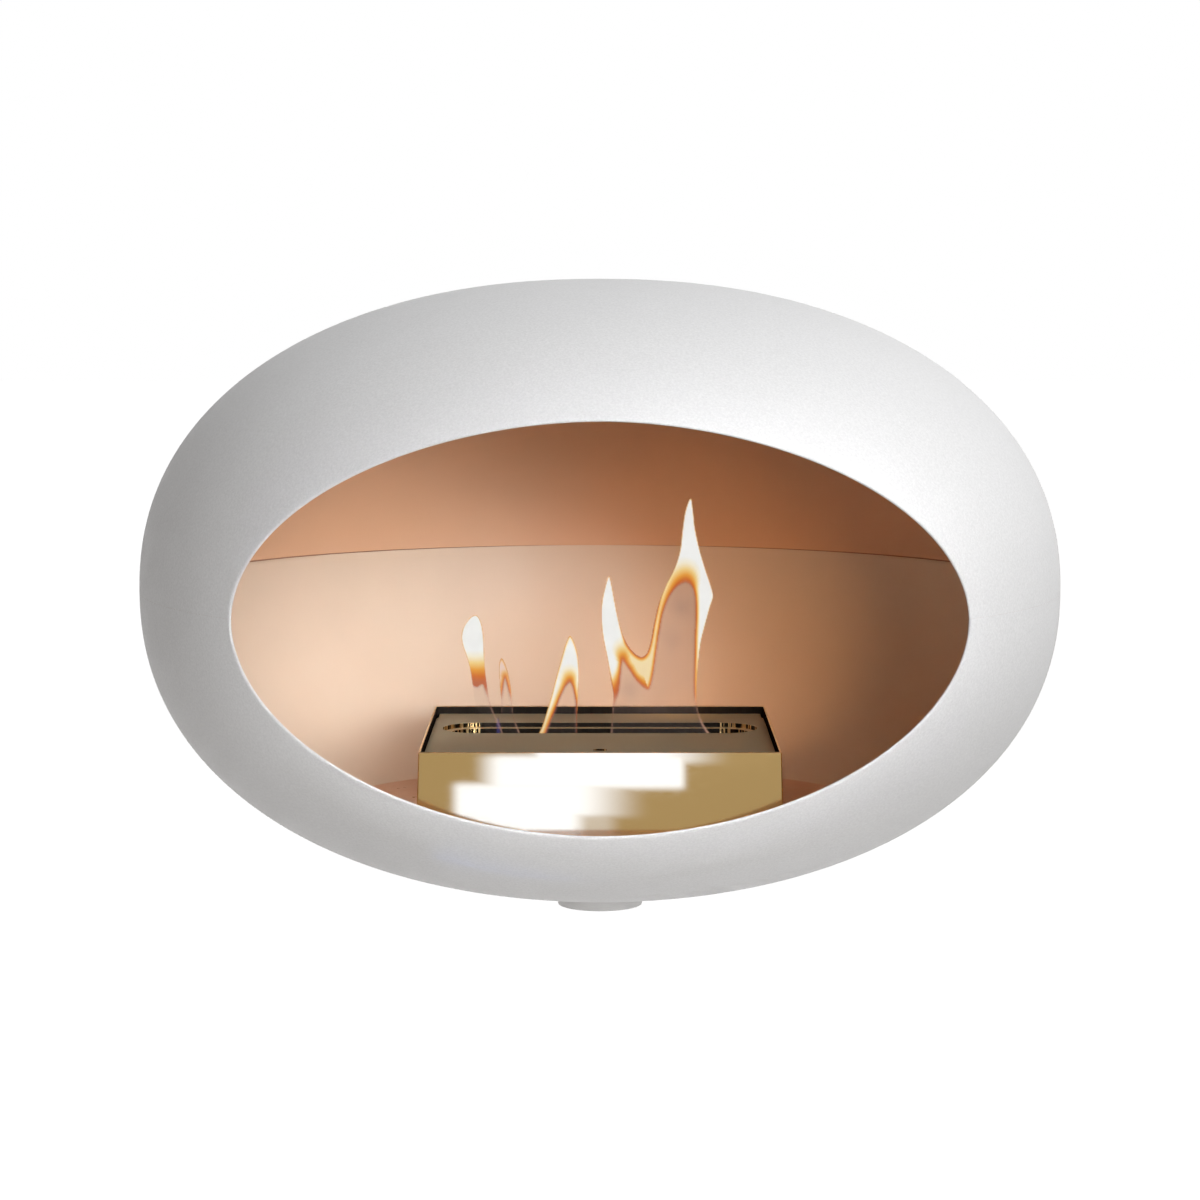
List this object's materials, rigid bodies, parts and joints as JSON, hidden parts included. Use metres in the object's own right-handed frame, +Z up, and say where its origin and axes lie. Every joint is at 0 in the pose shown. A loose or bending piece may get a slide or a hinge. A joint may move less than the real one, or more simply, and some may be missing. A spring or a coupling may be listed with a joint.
{
  "type": "wall-mounted fireplace",
  "caption": "Flattened dome firebox in sheet steel with a wide front mouth, carried on a short wall arm, with a lift-out liquid-fuel burner and a sliding snuffer shutter.",
  "frame": {"origin": "centre of the wall plate's back face, on the wall", "axes": "+Y into the wall, +Z up, +X to the right of someone facing the fireplace"},
  "size_m": [0.75, 0.7223, 0.5921],
  "materials": {
    "shell_white": "fine-textured matte white powder coat outside, copper-coloured coat inside",
    "arm_white": "matte white powder coat",
    "seat_white": "satin white paint over a turned face",
    "gasket_rubber": "matte black",
    "copper_paint": "satin copper-coloured coat",
    "zinc_steel": "zinc plated",
    "screw_steel": "plain steel",
    "polished_gold": "mirror-polished gold-coloured plating",
    "plain_steel": "plain stainless sheet",
    "lid_bronze": "bronze-toned stainless sheet with a polished slot wall",
    "brushed_bronze": "brushed bronze-toned plate with polished cut edges",
    "foot_rubber": "matte black",
    "ceramic_wool": "white fibre wick"
  },
  "bodies": {
    "dome": {"wall_plate": "arm_white", "arm_bar": "arm_white", "arm_rib": "arm_white", "seat_disc": "seat_white", "seat_gasket": "gasket_rubber", "upper_dome_shell": "shell_white", "lower_dome_shell": "shell_white", "floor_plate": "copper_paint", "clamp_plate": "zinc_steel", "seat_washer_1": "zinc_steel", "seat_washer_2": "zinc_steel", "seat_washer_3": "zinc_steel", "seat_screw_1": "screw_steel", "seat_screw_2": "screw_steel", "seat_screw_3": "screw_steel"},
    "burner": {"burner_casing": "polished_gold", "burner_base_plate": "plain_steel", "base_screw_1": "screw_steel", "base_screw_2": "screw_steel", "base_screw_3": "screw_steel", "base_screw_4": "screw_steel", "base_nut_1": "zinc_steel", "base_nut_2": "zinc_steel", "base_nut_3": "zinc_steel", "base_nut_4": "zinc_steel", "burner_foot_1": "foot_rubber", "burner_foot_2": "foot_rubber", "burner_foot_3": "foot_rubber", "burner_foot_4": "foot_rubber", "fuel_tank": "plain_steel", "ceramic_wool": "ceramic_wool", "wool_retainer": "plain_steel", "tank_lid": "lid_bronze", "shutter_rail_left": "plain_steel", "shutter_rail_right": "plain_steel", "rail_screw_1": "screw_steel", "rail_screw_2": "screw_steel", "rail_screw_3": "screw_steel", "rail_screw_4": "screw_steel"},
    "shutter": {"shutter": "plain_steel"},
    "top_plate": {"top_plate": "brushed_bronze"}
  },
  "joints": [
    {"name": "burner_lift_out", "type": "slide", "parent": "dome", "child": "burner", "axis": [0, -0.9063, 0.4226], "range_m": [0, 0.52]},
    {"name": "shutter_slide", "type": "slide", "parent": "burner", "child": "shutter", "axis": [0, 1, 0], "range_m": [0, 0.056]},
    {"name": "top_plate_lift", "type": "slide", "parent": "burner", "child": "top_plate", "axis": [0, 0, 1], "range_m": [0, 0.1]}
  ]
}
